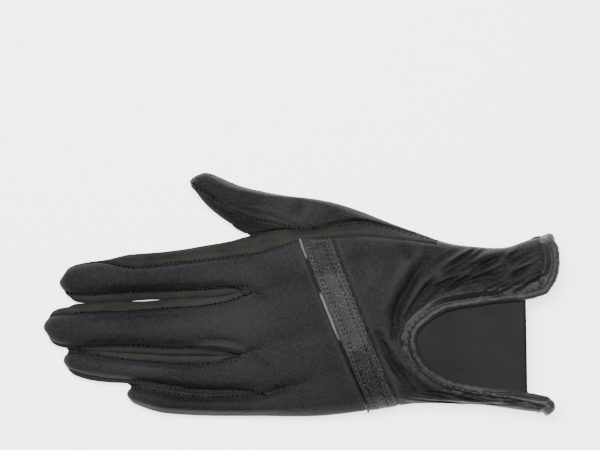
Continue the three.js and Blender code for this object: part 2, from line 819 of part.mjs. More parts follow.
const stationOf = new Map(rimStations.map((station) => [station.id, station]));

function tucked(id) {
  const { centre, across } = stationOf.get(id);
  const point = centre.clone().addScaledVector(across, insertTuck);
  point.z -= insertDrop;
  return point;
}

const insertRows = [];
for (let row = ventRow + 1; row < lastRow; row += 1) {
  const upper = tucked(topRows[row][vent]);
  const lower = tucked(lowRows[row]);
  const line = [];
  for (let column = 0; column <= insertCells; column += 1) {
    const share = column / insertCells;
    const point = upper.clone().lerp(lower, share);
    line.push(addPoint(point.x, point.y, point.z + insertCrown * Math.sin(Math.PI * share)));
  }
  insertRows.push(line);
}
while (outwards.length < points.length) {
  outwards.push(new THREE.Vector3(0, 0, 1));
}
addPatch('wrist_insert', insertRows, true);

// Piping along the finger side of the band

const pipingSides = 6;
const pipingSection = Array.from({ length: pipingSides }, (_, side) => {
  const angle = (2 * Math.PI * side) / pipingSides;
  return [pipingRadius * Math.cos(angle), pipingRadius * Math.sin(angle)];
});
const pipingLine = topRows[bandFrontRow].slice(stripEnd, clothEnd);
const pipingStations = pipingLine.map((id, at) => {
  const before = points[pipingLine[Math.max(0, at - 1)]];
  const after = points[pipingLine[Math.min(pipingLine.length - 1, at + 1)]];
  const run = after.clone().sub(before).normalize();
  const up = outwards[id];
  const across = run.clone().cross(up).normalize();
  const centre = points[id].clone().addScaledVector(up, bandRaise + pipingRadius + seamGap);
  return { centre, across, up };
});

// Materials

function finish(color, roughness, metalness = 0) {
  return new THREE.MeshStandardMaterial({ color, roughness, metalness });
}

const satin = finish(0x1c1e24, 0.42);
const suede = finish(0x3a3c34, 0.85);
const leather = finish(0x2a2a27, 0.38);
const silver = finish(0x8d9094, 0.25, 0.4);
const roll = finish(0x33352d, 0.5);
const stretch = finish(0x222226, 0.6);

// The glove, its origin under the middle of its outline

const glove = new THREE.Group();

function addPiece(name, geometry, material) {
  const mesh = new THREE.Mesh(geometry, material);
  mesh.name = name;
  glove.add(mesh);
}

addPiece('back_panel', clothSolid(pieces.get('back_panel'), satinWall), satin);
addPiece('wrist_panel', clothSolid(pieces.get('wrist_panel'), satinWall), satin);
addPiece('leather_band', clothSolid(pieces.get('leather_band'), leatherWall, bandRaise), leather);
addPiece('radial_strip', clothSolid(pieces.get('radial_strip'), suedeWall), suede);
addPiece('palm_panel', clothSolid(pieces.get('palm_panel'), suedeWall), suede);
for (let slit = 0; slit + 1 < fingers.length; slit += 1) {
  const name = `fourchette_${fingers[slit].name}_${fingers[slit + 1].name}`;
  addPiece(name, clothSolid(pieces.get(name), suedeWall), suede);
}
addPiece('thumb_back', clothSolid(pieces.get('thumb_back'), satinWall), satin);
addPiece('thumb_palm', clothSolid(pieces.get('thumb_palm'), suedeWall), suede);
addPiece('wrist_insert', clothSolid(pieces.get('wrist_insert'), insertWall), stretch);
addPiece('cuff_binding', sweptSolid(rimStations, bindingSection, true), roll);
addPiece('band_piping', sweptSolid(pipingStations, pipingSection, false), silver);

const bounds = new THREE.Box3().setFromObject(glove);
const centre = bounds.getCenter(new THREE.Vector3());
glove.position.set(-centre.x, -centre.y, -bounds.min.z);

export default glove;
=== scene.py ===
"""Looks of a left-hand riding glove that lies flat with its back up.

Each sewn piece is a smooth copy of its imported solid, with the creases, gathers and sunk seams of
worn cloth pressed into it. Stitches are laid along the seams, and each finish is made of nodes.
Lengths are in metres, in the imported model's own frame.
"""

import json
import math

import bmesh
import bpy
import numpy as np
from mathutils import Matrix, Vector, noise
from mathutils.bvhtree import BVHTree

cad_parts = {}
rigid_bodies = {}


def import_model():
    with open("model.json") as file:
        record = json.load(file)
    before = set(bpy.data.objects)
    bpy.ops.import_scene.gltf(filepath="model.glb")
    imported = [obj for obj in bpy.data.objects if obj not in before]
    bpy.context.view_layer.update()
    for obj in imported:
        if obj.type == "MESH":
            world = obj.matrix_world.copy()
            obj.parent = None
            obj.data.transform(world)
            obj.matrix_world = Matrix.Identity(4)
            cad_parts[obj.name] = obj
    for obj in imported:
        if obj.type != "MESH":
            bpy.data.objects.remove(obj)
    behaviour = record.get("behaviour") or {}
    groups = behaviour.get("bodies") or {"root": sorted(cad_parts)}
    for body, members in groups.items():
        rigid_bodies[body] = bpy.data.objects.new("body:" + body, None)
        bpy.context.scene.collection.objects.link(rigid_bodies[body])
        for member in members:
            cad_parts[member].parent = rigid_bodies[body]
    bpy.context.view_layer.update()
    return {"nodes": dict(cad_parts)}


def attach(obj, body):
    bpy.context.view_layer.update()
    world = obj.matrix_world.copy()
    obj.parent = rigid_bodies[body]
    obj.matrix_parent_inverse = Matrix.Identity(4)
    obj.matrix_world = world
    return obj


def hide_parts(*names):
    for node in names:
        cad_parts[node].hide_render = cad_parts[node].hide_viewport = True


bl_info = {
    "name": "Riding Glove",
    "version": (1, 0, 0),
    "blender": (4, 5, 0),
    "location": "View3D > Sidebar > Glove",
    "description": "Sews, stitches and finishes a riding glove on its packed solids",
    "category": "Object",
}

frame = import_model()

# The plan view. Places along seams and creases are in points of the view from straight above.
POINT = 0.00044
PLAN_X, PLAN_Y = 300.0, 294.6
VIEW_WIDTH, VIEW_HEIGHT = 600, 450
# The height at which a point of the view is as wide as POINT says.
VIEW_LEVEL = 0.012
MM = 0.001

# Seams: how far away the neighbour is looked for, the waves along a seam, and the puckers
# beside it.
SEAM_REACH, SEAM_WAVES = 0.006, 0.0024
PUCKER_PLACE, PUCKER_WIDTH = 0.0021, 0.001
# How deep a thread pulls the cloth in, over which width, and on faces that look how far up.
THREAD_PULL, THREAD_WIDTH, THREAD_FACING = 0.00032, 0.00055, (0.15, 0.6)
# Cloth nearer to its neighbour than the first is drawn up to it, and beyond the second it isn't.
JOIN_NEAR, JOIN_FAR, JOIN_SHARE = 0.0005, 0.001, 0.6
# Below the first height cloth lies on the floor as packed, and above the second it is free.
FLOOR_LOW, FLOOR_HIGH = 0.001, 0.003
# The binding: how far away cloth is looked for, the heights between which it comes free of the
# floor, and the distances from the cloth between which it stops being joined to it.
BINDING_REACH, BINDING_FREE, BINDING_JOIN = 0.009, (0.0008, 0.003), (0.0012, 0.0021)
# Corners closer than this are one. Quads are made over edges flatter than the first angle, and
# edges sharper than the second are cut edges.
MERGE_GAP = 1e-5
FLAT_ANGLE, CUT_ANGLE = math.radians(50.0), math.radians(58.0)

# Creases pressed into all the cloth at once.
# Columns: start x, start y, end x, end y in plan points; half width and lift in mm,
# bow to the left of the run in mm, lean from -1 to 1 towards the steep side.
CREASES = [
    # Gathers of the cuff's thumb-side lobe.
    (430, 282, 452, 268, 1.7, 0.8, 0.3, 0.3),
    (437, 297, 484, 288, 1.8, 0.9, 0.6, 0.3),
    (458, 277, 482, 271, 1.6, 0.7, 0.2, -0.3),
    (482, 287, 512, 276, 1.5, 1.0, 0.3, 0.5),
    (480, 273, 508, 263, 1.8, 0.9, 0.4, 0.4),
    (500, 280, 533, 257, 1.8, 1.1, 0.5, 0.3),
    (441, 267, 461, 254, 1.8, 0.7, 0.2, 0.2),
    (468, 264, 487, 254, 1.7, 0.8, 0.2, 0.3),
    (492, 258, 520, 249, 1.6, 0.7, 0.2, 0.2),
    (446, 284, 470, 279, 1.3, -0.8, 0.2, 0.0),
    (480, 280, 502, 271, 1.3, -0.9, 0.2, 0.0),
    (496, 268, 524, 257, 1.3, -0.8, 0.3, 0.0),
    (462, 268, 486, 262, 1.2, -0.6, 0.2, 0.0),
    (505, 286, 532, 276, 1.4, 0.6, 0.2, 0.2),
    # Folds that turn round the vent.
    (428, 256, 394, 316, 1.9, -1.6, -1.3, 0.3),
    (418, 254, 385, 306, 2.4, 0.9, -1.2, 0.0),
    (441, 271, 405, 316, 1.4, -1.2, -1.0, 0.0),
    (434, 270, 400, 318, 1.4, 0.9, -1.0, 0.3),
    (450, 277, 412, 312, 1.2, -0.8, -0.9, 0.0),
    (395, 312, 391, 342, 1.7, -0.9, 0.5, 0.0),
    (377, 335, 413, 388, 1.7, -1.2, -1.6, 0.0),
    (385, 330, 419, 383, 1.6, 0.8, -1.6, 0.2),
    (391, 350, 430, 390, 1.2, -0.8, -1.4, 0.0),
    (400, 243, 413, 262, 2.6, -0.5, 0.4, 0.0),
    # Creases that start where two fingers part.
    (250, 292, 270, 299, 1.5, -0.45, 0.2, 0.2),
    (243, 354, 262, 348, 1.4, -0.6, 0.2, 0.0),
    (243, 354, 266, 364, 1.5, -0.7, -0.2, 0.2),
    (266, 394, 286, 386, 1.4, -0.6, 0.2, 0.0),
    (252, 290, 274, 284, 1.8, 0.3, 0.2, 0.0),
    # Loose cloth along the fingers.
    (196, 347, 244, 351, 1.3, 0.8, 1.3, 0.4),
    (200, 340, 240, 343, 1.3, -0.4, 1.0, 0.0),
    (150, 276, 186, 278, 2.4, 0.25, 0.3, 0.0),
    (96, 276, 132, 280, 2.2, 0.25, 0.2, 0.0),
    (150, 330, 196, 326, 2.6, 0.3, 0.3, 0.0),
    (92, 330, 130, 334, 2.2, 0.25, 0.2, 0.0),
    (120, 368, 166, 371, 2.2, 0.3, 0.2, 0.0),
    (176, 403, 222, 404, 2.0, 0.3, 0.2, 0.0),
    # The thumb's bend and the cloth beside it.
    (301, 203, 292, 219, 1.6, -0.7, 0.3, 0.3),
    (312, 204, 302, 224, 2.0, 0.4, 0.3, 0.0),
    (330, 208, 338, 218, 2.0, -0.3, 0.3, 0.0),
    (236, 196, 250, 213, 2.4, -0.3, 0.3, 0.0),
    # The thumb side of the hand, before and behind the band.
    (340, 262, 372, 252, 2.6, -0.35, 0.5, 0.0),
    (360, 300, 380, 268, 3.2, 0.35, 0.5, 0.0),
    (404, 396, 450, 396, 1.2, 0.6, 0.2, 0.2),
    (450, 398, 520, 403, 1.0, 0.5, 0.3, 0.2),
]
# The creases' profile: its power, how far its ends run out, and how much it leans.
CREASE_POWER, CREASE_END, CREASE_LEAN = 1.35, 1.2, 0.6
# Cloth is creased from the first height on, and fully from the second.
CREASE_LOW, CREASE_HIGH = 0.0045, 0.0095

# Places where the cuff's elastic gathers the cloth into small ridges.
# Columns: middle x, y and half sizes in plan points, ridges' turn in degrees,
# ridge length and width in mm, lift in mm.
GATHERS = [
    (485, 270, 64, 28, 30, 19.0, 2.6, 1.5),
    (478, 398, 80, 10, -7, 18.0, 1.4, 1.8),
    (392, 358, 16, 34, -62, 18.0, 2.6, 1.0),
    (405, 285, 16, 32, 60, 22.0, 3.4, 0.9),
]
# Where the ridges' edge fades, as shares of the half sizes.
GATHER_FULL, GATHER_END = 0.55, 1.15
# The faint ripple of loose cloth, and its fine part as shares of it.
RIPPLE_LENGTH, RIPPLE_LIFT = 0.011, 0.00022
FINE_LENGTH, FINE_LIFT, FINE_SQUEEZE = 0.36, 0.35, (1.4, 1.0, 1.0)

# The attribute that holds how pale a piece is drawn, from 0 to 1: painted light and shade, with
# some rubbing on raised cloth. Plain cloth has the plain level. Painted highlights are added on
# puckers beside seams, on fold tops and on runs that shine, and painted shade in fold hollows, at
# seams and on sides.
WEAR_AND_LIGHT = "rub"
PLAIN_LEVEL, PUCKER_HIGHLIGHT, FOLD_LIGHT_AND_SHADE, SEAM_SHADE = 0.35, 0.45, 0.5, -0.3
SIDE_SHADE, PAINTED_SHINE = -0.6, 2.4
# Patches of painted light, with positive shares, and of painted shade, with negative ones, where
# the lamps fall brighter or dimmer on the glove.
# Columns: x, y and reach in plan points, share added.
PAINTED_LIGHT_PATCHES = [
    (240, 322, 62, 0.45),
    (296, 214, 26, 0.4),
    (190, 408, 42, -0.5),
    (222, 186, 36, -0.9),
    (490, 256, 46, -0.7),
    (284, 238, 22, 0.5),
    (130, 331, 46, -0.3),
    (150, 262, 40, -0.5),
    (130, 372, 40, 0.4),
]

# The slits between fingers. Walls closer than SLIT_FULL are closed fully, and those further
# apart than SLIT_NONE aren't. Only upright walls that face across the fingers are moved.
SLIT_START, SLIT_REACH = 0.0003, 0.009
SLIT_FULL, SLIT_NONE = 0.0018, 0.0052
SLIT_UPRIGHT, SLIT_ACROSS = (0.15, 0.32), (0.8, 0.97)
SLIT_SHARE = 0.49
# The part of a slit, along X, where the two walls stay a little apart, and by which share.
SLIT_MIDDLE, SLIT_HALF = -0.068, 0.007
GUSSETS = (("index_middle", 0.3), ("middle_ring", 0.0), ("ring_little", 0.0))
# The knot where index and middle finger part: its place in plan points and its size.
KNOT_PLACE, KNOT_SIZE = (247.5, 291.5), (0.0044, 0.0034, 0.0032)

# Lines of stitches, in plan points. Columns: name, spacing share, width share, points of the run.
SEAM_STITCHES = [
    ("index_side", 1.0, 0.9, [
        (66, 292.6), (90, 295.6), (110, 293.6), (130, 292.6), (151, 291.6), (173, 291.6),
        (200, 289.6), (247, 286.6),
    ]),
    ("index_strip", 1.0, 0.8, [
        (114, 264.4), (123, 266.4), (136, 268.4), (151, 266.4), (173, 262.4), (190, 261.4),
        (230, 256.4), (256, 253.4), (276, 248.4), (295, 241.9),
    ]),
    ("middle_side", 1.0, 0.9, [
        (75, 313.2), (101, 311.8), (130, 311.6), (153, 309.2), (173, 307.7), (200, 306.7),
        (208, 304.7), (226, 301.7), (243, 295.2),
    ]),
    ("middle_outer", 1.0, 0.9, [
        (79, 347.8), (101, 346.8), (123, 345.8), (144, 345.8), (166, 348.8), (180, 348.8),
        (196, 346.8),
    ]),
    ("ring_side", 1.0, 0.9, [
        (79, 351.4), (101, 355.8), (130, 359.8), (151, 361.8), (173, 363.8), (200, 364.4),
        (220, 362.8), (236, 360.8),
    ]),
    ("ring_outer", 1.0, 0.9, [
        (138, 378.6), (159, 383.2), (174, 389), (200, 389.2), (240, 389.2), (262, 392.6),
    ]),
    ("little_side", 1.0, 0.9, [
        (135, 386.8), (151, 389.8), (173, 393.8), (200, 397.2), (210, 397.8), (240, 395.8),
        (262, 394.4),
    ]),
    ("thumb_side", 1.0, 0.8, [
        (197, 188.7), (207.5, 193.8), (220, 202.8), (232.5, 209.8), (245, 215.8), (257.5, 219.8),
        (270, 222.2), (286, 226.2), (301, 227.8), (316, 228.2),
    ]),
    ("strip_upper", 1.2, 0.6, [
        (340, 225.4), (360, 223), (388, 228), (413, 235), (438, 240),
    ]),
]
BAND_STITCHES = [
    ("band_front_inner", 1.0, 1.0, [
        (304, 241.5), (309, 252), (317, 272), (323, 286), (329, 298), (337, 317), (345, 337),
        (355, 370), (374, 408.5),
    ]),
    ("band_front_outer", 1.0, 1.0, [
        (306.6, 241), (311.6, 251.2), (319.4, 271), (325.4, 285), (331.4, 297), (339.6, 316),
        (347.6, 336), (357.8, 369), (376.6, 408),
    ]),
    ("band_back_inner", 1.0, 1.0, [
        (322.5, 238.2), (328.5, 257.8), (337, 278), (346, 299), (354, 321), (364, 344),
        (373, 368), (379, 385.6), (388.6, 405.6),
    ]),
    ("band_back_outer", 1.0, 1.0, [
        (327.2, 238), (333.4, 257.4), (342, 277.4), (351, 298.4), (359, 320.4), (369, 343.4),
        (378, 367.4), (384, 385.2), (393.4, 404.6),
    ]),
]
# Runs along which a highlight is painted on the piping and the band, and how far from a run it
# still reaches.
PIPING_HIGHLIGHT_REACH, BAND_HIGHLIGHT_REACH = 0.004, 0.0085
PIPING_HIGHLIGHT_RUNS = [[(299, 240), (304, 256)], [(321, 296), (329, 314), (338, 336)]]
BAND_HIGHLIGHT_RUNS = [[(331, 288), (338, 308), (350, 336)]]
BINDING_STITCHES = [
    ("vent_groove", 1.3, 1.0, [
        (537, 287.2), (526, 290.2), (507, 292.2), (486, 294.2), (469, 297), (454, 299),
        (441.4, 302), (428.4, 308.6), (414, 320), (407.4, 330.6), (405.2, 344), (407.4, 356.6),
        (416.6, 368.4), (431, 378.2), (444, 384), (466, 388.8), (487, 392.2), (507, 395.4),
    ]),
]

# How far above the cloth a thread lies, the steps of a run, and a height above every piece.
THREAD_LIFT, RUN_STEP, ABOVE = 0.0002, 0.0009, 0.1
DOWN = Vector((0.0, 0.0, -1.0))

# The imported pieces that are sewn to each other.
CLOTH_NODES = (
    "back_panel", "wrist_panel", "leather_band", "radial_strip", "palm_panel",
    "fourchette_index_middle", "fourchette_middle_ring", "fourchette_ring_little",
    "thumb_back", "thumb_palm",
)

# The dressed pieces that stitches are dropped on.
DRESSED = (
    "back_cloth", "wrist_cloth", "palm_cloth", "side_strip", "thumb_satin", "thumb_suede",
    "index_middle_gusset", "middle_ring_gusset", "ring_little_gusset",
    "band_leather_cover", "insert_cloth_sheet", "binding_roll",
)


def add_node(tree, kind, settings=None, values=None):
    """A new node with its inputs set, or linked where they are given a socket or a Value."""
    made = tree.nodes.new(kind)
    for name, setting in (settings or {}).items():
        setattr(made, name, setting)
    for name, value in (values or {}).items():
        if isinstance(value, Value):
            value = value.socket
        if isinstance(value, bpy.types.NodeSocket):
            tree.links.new(value, made.inputs[name])
        else:
            made.inputs[name].default_value = value
    return made


def placed(name, data):
    """A new object in the scene."""
    made = bpy.data.objects.new(name, data)
    bpy.context.collection.objects.link(made)
    return made


class Value:
    """A number or colour that varies over a surface. An expression on it adds its Math nodes."""

    def __init__(self, finish, socket):
        self.finish, self.socket = finish, socket

    def maths(self, operation, *terms):
        """The output of a Math node that has these terms."""
        return self.finish.node(
            "ShaderNodeMath", {"operation": operation}, dict(enumerate(terms))
        )

    def __add__(self, other):
        return self.maths("ADD", self, other)

    def __radd__(self, other):
        return self.maths("ADD", other, self)

    def __sub__(self, other):
        return self.maths("SUBTRACT", self, other)

    def __rsub__(self, other):
        return self.maths("SUBTRACT", other, self)

    def __mul__(self, other):
        return self.maths("MULTIPLY", self, other)

    def __rmul__(self, other):
        return self.maths("MULTIPLY", other, self)

    def spread(self, low, high):
        """A smooth step from 0 at low to 1 at high."""
        return self.finish.node(
            "ShaderNodeMapRange",
            {"interpolation_type": "SMOOTHSTEP"},
            {"Value": self, "From Min": low, "From Max": high},
        )


class Finish:
    """One material and the nodes that make it."""

    # A wave texture of scale 1 repeats each 0.314 m.
    BANDS_PER_SCALE = 0.314

    def __init__(self, name):
        self.material = bpy.data.materials.new(name)
        self.material.use_nodes = True
        self.tree = self.material.node_tree
        self.tree.nodes.clear()
        self.place = self.node("ShaderNodeTexCoord", output="Object")

    def node(self, kind, settings=None, values=None, output=0):
        """One output of a new node."""
        return Value(self, add_node(self.tree, kind, settings, values).outputs[output])

    def stretched(self, scale, turn):
        """Object coordinates, scaled and then turned about Z."""
        return self.node(
            "ShaderNodeMapping",
            {},
            {"Vector": self.place, "Scale": scale, "Rotation": (0.0, 0.0, turn)},
        )

    def grain(self, size, detail, roughness=0.5, place=None):
        """Noise whose spots are about as wide as size."""
        return self.node(
            "ShaderNodeTexNoise",
            {"noise_dimensions": "3D"},
            {
                "Vector": place or self.place,
                "Scale": 1.0 / size,
                "Detail": detail,
                "Roughness": roughness,
            },
        )

    def pebbles(self, size, place):
        """The distance from the edge of a pebble of that size."""
        return self.node(
            "ShaderNodeTexVoronoi",
            {"feature": "DISTANCE_TO_EDGE"},
            {"Vector": place, "Scale": 1.0 / size},
        )

    def threads(self, size, direction, distortion):
        """Bands that repeat each size along the direction."""
        return self.node(
            "ShaderNodeTexWave",
            {"wave_type": "BANDS", "bands_direction": direction},
            {
                "Vector": self.place,
                "Scale": self.BANDS_PER_SCALE / size,
                "Distortion": distortion,
            },
        )

    def tint(self, first, second, share):
        """The first colour where share is 0 and the second where it is 1."""
        return self.node(
            "ShaderNodeMix",
            {"data_type": "RGBA"},
            {0: share, 6: (*first, 1.0), 7: (*second, 1.0)},
            output=2,
        )

    def wear_and_light(self):
        """How pale the piece is drawn, painted light and shade with some rubbing, as stored with
        its corners.
        """
        return self.node("ShaderNodeAttribute", {"attribute_name": WEAR_AND_LIGHT}, output="Fac")

    def close(self, colour, roughness, height, depth, fixed):
        """Ends the finish. The height is a relief of that depth in metres."""
        relief = self.node(
            "ShaderNodeBump", {}, {"Height": height, "Distance": depth, "Strength": 1.0}
        )
        shown = {"Base Color": colour, "Roughness": roughness, "Normal": relief, **fixed}
        surface = self.node("ShaderNodeBsdfPrincipled", {}, shown)
        add_node(self.tree, "ShaderNodeOutputMaterial", values={"Surface": surface})
        return self.material


def scaled(colour, share, add=0.0):
    """A lighter or darker colour."""
    return tuple(share * part + add for part in colour)


def satin_cloth(colour):
    """Stretch satin: fine knit ribs, a faint sheen, paler where light is painted and darker where
    shade is.
    """
    cloth = Finish("stretch satin")
    ribs = cloth.threads(0.00045, "Y", 0.6)
    rows = cloth.threads(0.0006, "X", 0.6)
    fleck = cloth.grain(0.0008, 2.0).spread(0.28, 0.72)
    cloud = cloth.grain(0.016, 2.0)
    light_and_wear = cloth.wear_and_light()
    deep = scaled(colour, 0.45)
    light = scaled(colour, 1.6, 0.002)
    share = (cloud * 0.25 + fleck * 0.55 + light_and_wear * 0.7).spread(0.05, 1.28)
    shade = cloth.tint(deep, light, share)
    rough = 0.58 + 0.12 * fleck - 0.08 * cloud
    height = ribs * 0.35 + rows * 0.25 + fleck * 0.6
    fixed = {
        "Specular IOR Level": 0.07,
        "Sheen Weight": 0.01,
        "Sheen Roughness": 0.35,
        "Sheen Tint": (0.62, 0.66, 0.78, 1.0),
    }
    return cloth.close(shade, rough, height, 0.00014, fixed)


def brushed_suede(colour):
    """Synthetic suede: a short brushed nap, matt, paler where light is painted and darker where
    shade is.
    """
    cloth = Finish("synthetic suede")
    nap = cloth.grain(0.00055, 4.0, 0.62)
    patch = cloth.grain(0.007, 3.0, 0.55)
    strokes = cloth.grain(0.0022, 2.0, 0.5, cloth.stretched((0.35, 1.0, 1.0), 0.3))
    light_and_wear = cloth.wear_and_light()
    deep = scaled(colour, 0.7)
    light = scaled(colour, 1.7, 0.003)
    share = (patch * 0.5 + strokes * 0.5 + nap * 0.6 + light_and_wear * 0.4).spread(0.45, 1.4)
    shade = cloth.tint(deep, light, share)
    rough = 0.82 + 0.12 * nap
    height = nap * 0.7 + strokes * 0.5
    fixed = {
        "Specular IOR Level": 0.05,
        "Sheen Weight": 0.01,
        "Sheen Roughness": 0.5,
        "Sheen Tint": (0.7, 0.72, 0.62, 1.0),
    }
    return cloth.close(shade, rough, height, 0.00022, fixed)


def band_hide(colour):
    """Soft leather: pebbled grain with fine wrinkles, half glossy on the tops of the grain."""
    hide = Finish("grained leather")
    warp = hide.stretched((1.0, 0.7, 1.0), -0.35)
    pebble = hide.pebbles(0.0009, warp).spread(0.02, 0.35)
    small = hide.grain(0.0005, 3.0, 0.6)
    wrinkle = hide.grain(0.0028, 3.0, 0.55, warp)
    light_and_wear = hide.wear_and_light()
    deep = scaled(colour, 0.55)
    light = scaled(colour, 4.0, 0.003)
    # The stored share paints the band's highlight along its middle and shade on its sides.
    share = (pebble * 0.6 + wrinkle * 0.2 + light_and_wear * 0.6).spread(0.2, 1.3)
    shade = hide.tint(deep, light, share)
    rough = 0.5 - 0.12 * pebble + 0.1 * small
    height = pebble * 0.8 + wrinkle * 0.5 + small * 0.3
    fixed = {"Specular IOR Level": 0.16}
    return hide.close(shade, rough, height, 0.0002, fixed)


def rolled_binding(colour):
    """Thin hide folded over an edge: fine grain, crinkled, a dull shine."""
    hide = Finish("rolled binding")
    grain = hide.grain(0.0007, 4.0, 0.6)
    crinkle = hide.grain(0.002, 3.0, 0.6)
    light_and_wear = hide.wear_and_light()
    deep = scaled(colour, 0.6)
    light = scaled(colour, 1.6, 0.004)
    # The stored share paints a highlight on the roll and shade in its groove.
    share = (crinkle * 0.6 + grain * 0.3 + light_and_wear * 0.5).spread(0.3, 1.0)
    shade = hide.tint(deep, light, share)
    rough = 0.56 + 0.16 * grain - 0.06 * crinkle
    height = grain * 0.5 + crinkle * 0.9
    fixed = {"Specular IOR Level": 0.35, "Sheen Weight": 0.03, "Sheen Roughness": 0.4}
    return hide.close(shade, rough, height, 0.00025, fixed)


def insert_cloth(colour):
    """The smooth stretch cloth under the vent, with fine lengthwise ribs."""
    cloth = Finish("insert cloth")
    ribs = cloth.threads(0.0005, "Y", 0.3)
    fleck = cloth.grain(0.0008, 3.0)
    cloud = cloth.grain(0.012, 2.0)
    deep = scaled(colour, 0.8)
    light = scaled(colour, 1.3, 0.002)
    shade = cloth.tint(deep, light, (cloud * 0.5 + fleck * 0.4).spread(0.25, 0.8))
    rough = 0.66 + 0.12 * fleck
    height = ribs * 0.5 + fleck * 0.5
    fixed = {
        "Specular IOR Level": 0.2,
        "Sheen Weight": 0.05,
        "Sheen Roughness": 0.5,
        "Sheen Tint": (0.7, 0.72, 0.8, 1.0),
    }
    return cloth.close(shade, rough, height, 0.00008, fixed)


def piping_with_painted_highlight(colour):
    """The band's piping: a dark smooth cord with a silvery highlight painted along given runs."""
    cord = Finish("silver piping")
    fine = cord.grain(0.0006, 3.0)
    painted_glint = cord.wear_and_light()
    deep = scaled(colour, 0.03)
    shade = cord.tint(deep, colour, (painted_glint + 0.3 * fine).spread(0.55, 1.25))
    rough = 0.34 + 0.14 * fine
    fixed = {"Specular IOR Level": 0.12}
    return cord.close(shade, rough, fine, 0.00006, fixed)


def sewing_thread(colour):
    """Dark twisted thread."""
    thread = Finish("sewing thread")
    twist = thread.grain(0.0004, 2.0)
    deep = scaled(colour, 0.7)
    shade = thread.tint(deep, colour, twist)
    fixed = {"Specular IOR Level": 0.03}
    return thread.close(shade, 0.5 + 0.2 * twist, twist, 0.00005, fixed)


def pale_floor(colour):
    """Matt paper under the glove."""
    paper = Finish("pale paper")
    fibre = paper.grain(0.002, 3.0)
    shade = paper.tint(scaled(colour, 0.985), colour, fibre)
    fixed = {
        "Specular IOR Level": 0.2,
        "Emission Color": (1.0, 1.0, 1.0, 1.0),
        "Emission Strength": 2.4,
    }
    return paper.close(shade, 0.9 + 0.05 * fibre, fibre, 0.00002, fixed)


def measure(name, default, description, unit="LENGTH"):
    """A number property with a unit."""
    return bpy.props.FloatProperty(
        name=name, description=description, default=default, unit=unit
    )


class GloveShape(bpy.types.PropertyGroup):
    """How deep the cloth's creases, seams and rolls are."""

    crease: measure("Creases", 1.8, "Factor on the lifts in the creases' tables", "NONE")
    seam_depth: measure("Seam depth", 0.00042, "How far cloth sinks at a seam")
    seam_roll: measure("Seam roll", 0.0012, "Width of the cloth that turns down at a seam")
    pucker: measure("Pucker", 0.00016, "Lift of the small puckers beside a seam")
    roll_height: measure("Binding roll", 0.0008, "Height of the binding's rolls over its groove")
    lap: measure("Binding lap", 0.0008, "How far the binding laps over the cloth's edge")
    crinkle: measure("Binding crinkle", 0.00028, "Lift of the crinkles along the roll")


class GloveStitching(bpy.types.PropertyGroup):
    """Sizes of the stitches."""

    spacing: measure("Spacing", 0.0021, "From one stitch to the next")
    length: measure("Length", 0.0012, "Length of one stitch")
    width: measure("Width", 0.0006, "Width of the thread")


def dye(name, default):
    """A colour property."""
    return bpy.props.FloatVectorProperty(
        name=name,
        description=f"Colour of the {name.lower()}",
        subtype="COLOR",
        size=3,
        min=0.0,
        max=1.0,
        default=default,
    )


class GloveColours(bpy.types.PropertyGroup):
    """Colours of the glove's finishes."""

    satin: dye("Satin", (0.0118, 0.0122, 0.0133))
    suede: dye("Suede", (0.0122, 0.0132, 0.0114))
    leather: dye("Leather band", (0.0092, 0.0094, 0.0084))
    binding: dye("Binding", (0.0052, 0.0055, 0.0047))
    insert: dye("Wrist insert", (0.0064, 0.0066, 0.0076))
    # The piping's colour is that of its painted highlight. Elsewhere the cord is drawn at 0.03 of
    # it.
    piping: dye("Piping", (0.12, 0.12, 0.125))
    thread: dye("Thread", (0.001, 0.001, 0.001))
    floor: dye("Floor", (0.93, 0.93, 0.93))


class GloveStage(bpy.types.PropertyGroup):
    """Light and camera."""

    camera_height: measure("Camera height", 1.5, "Camera above the floor")
    soft_light: measure("Soft light", 34.0, "Power of the large overhead light", "POWER")
    side_light: measure("Side light", 5.0, "Power of the window-like side light", "POWER")


def plan(x, y):
    """A place in the plan view, in metres."""
    return ((x - PLAN_X) * POINT, (PLAN_Y - y) * POINT)


def rise(value, low, high):
    """A smooth step from 0 at low to 1 at high."""
    share = np.clip((value - low) / (high - low), 0.0, 1.0)
    return share * share * (3.0 - 2.0 * share)


def bump(value, middle, half):
    """A smooth bump of height 1 round the middle."""
    return np.exp(-(((value - middle) / half) ** 2))


